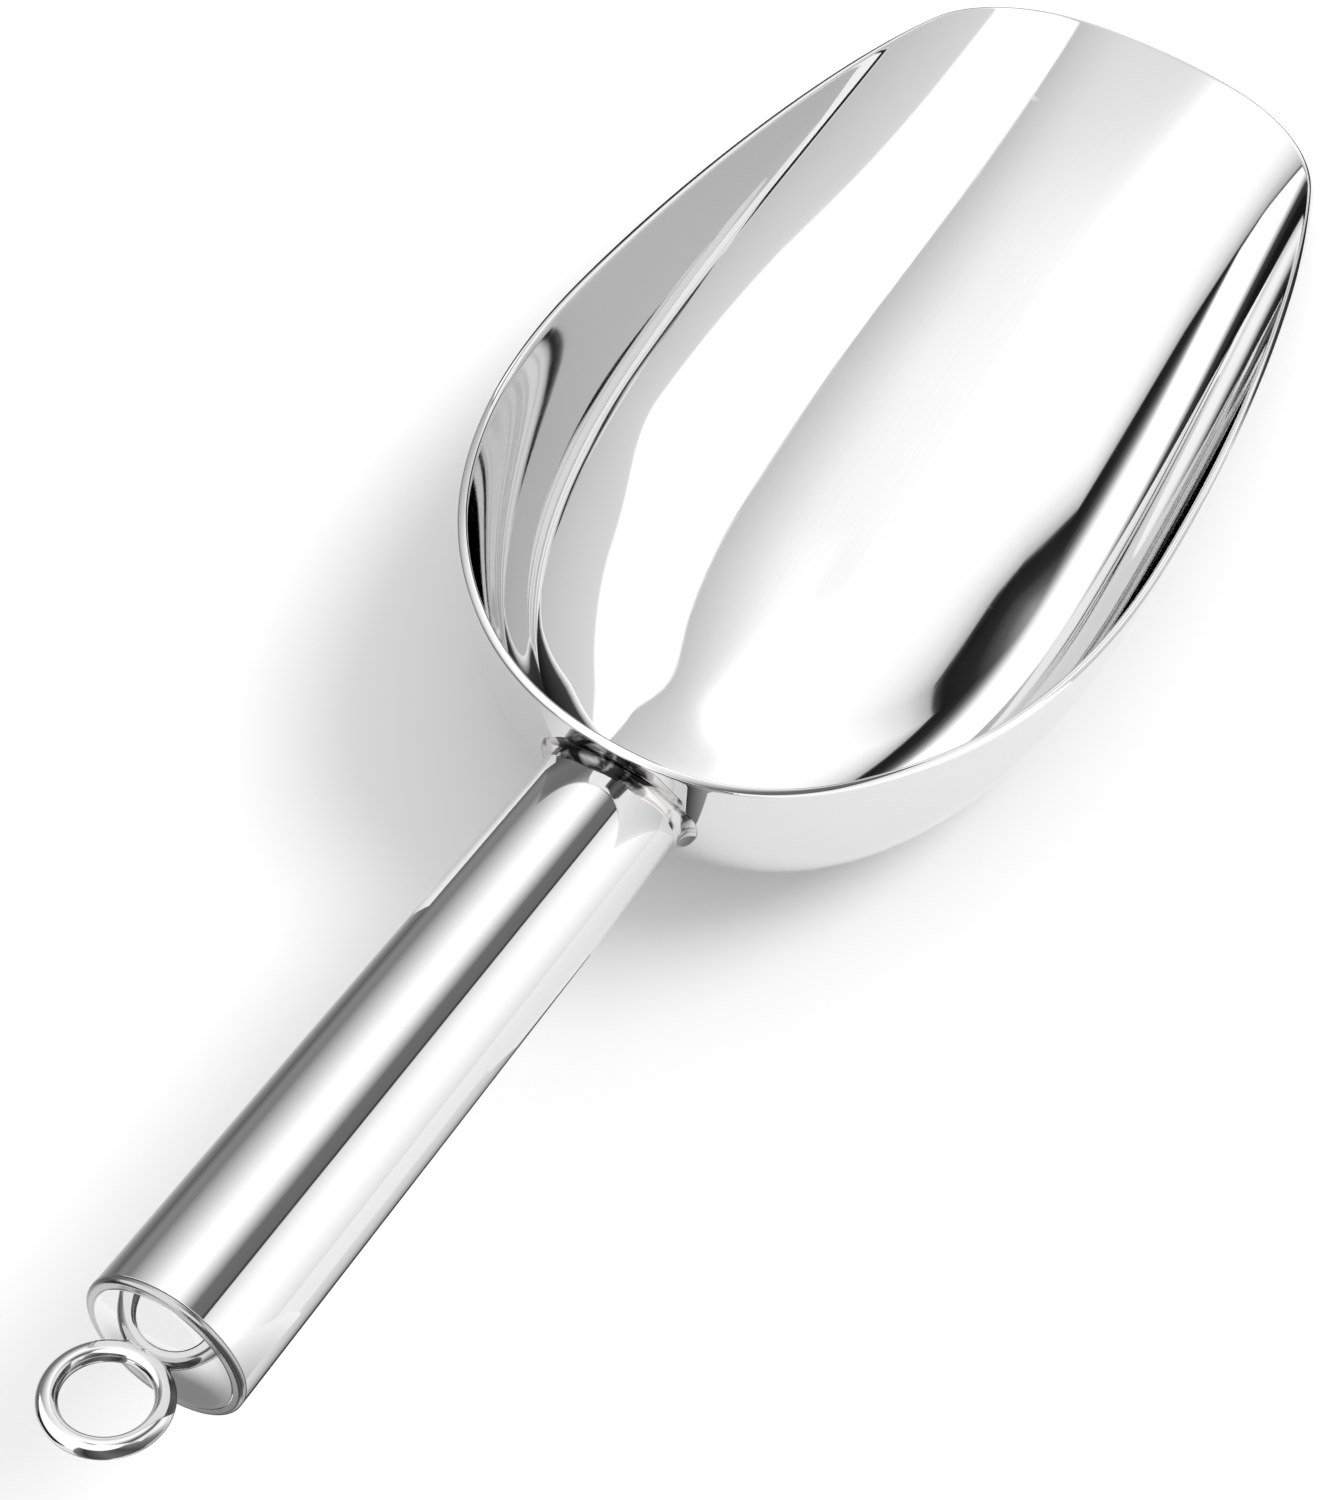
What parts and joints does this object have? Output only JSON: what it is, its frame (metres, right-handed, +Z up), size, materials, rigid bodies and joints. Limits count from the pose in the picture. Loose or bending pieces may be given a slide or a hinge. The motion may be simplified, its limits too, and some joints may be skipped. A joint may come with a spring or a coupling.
{
  "type": "ice scoop",
  "caption": "Polished steel scoop: deep rounded bowl with a raked rim, straight capped tube handle and a welded hanging ring.",
  "frame": {"origin": "on the plane that the bowl's flat floor rests on, on the scoop's middle line, where the rounded back of the bowl meets its straight-sided trough", "axes": "+X runs from the handle to the pouring lip, +Z up out of the open bowl, +Y to the left when looking from the handle to the lip"},
  "size_m": [0.3067, 0.1014, 0.0852],
  "materials": {
    "polished_steel": "mirror-polished stainless steel with fine hairline scratches",
    "wire_steel": "bright drawn steel wire, polished",
    "weld_steel": "steel weld bead, ground and polished over, with slight ripples"
  },
  "bodies": {
    "root": {"bowl": "polished_steel", "handle_tube": "polished_steel", "handle_weld": "weld_steel", "end_cap": "polished_steel", "end_cap_weld": "polished_steel", "hanging_ring": "wire_steel", "ring_weld": "weld_steel"}
  },
  "joints": []
}
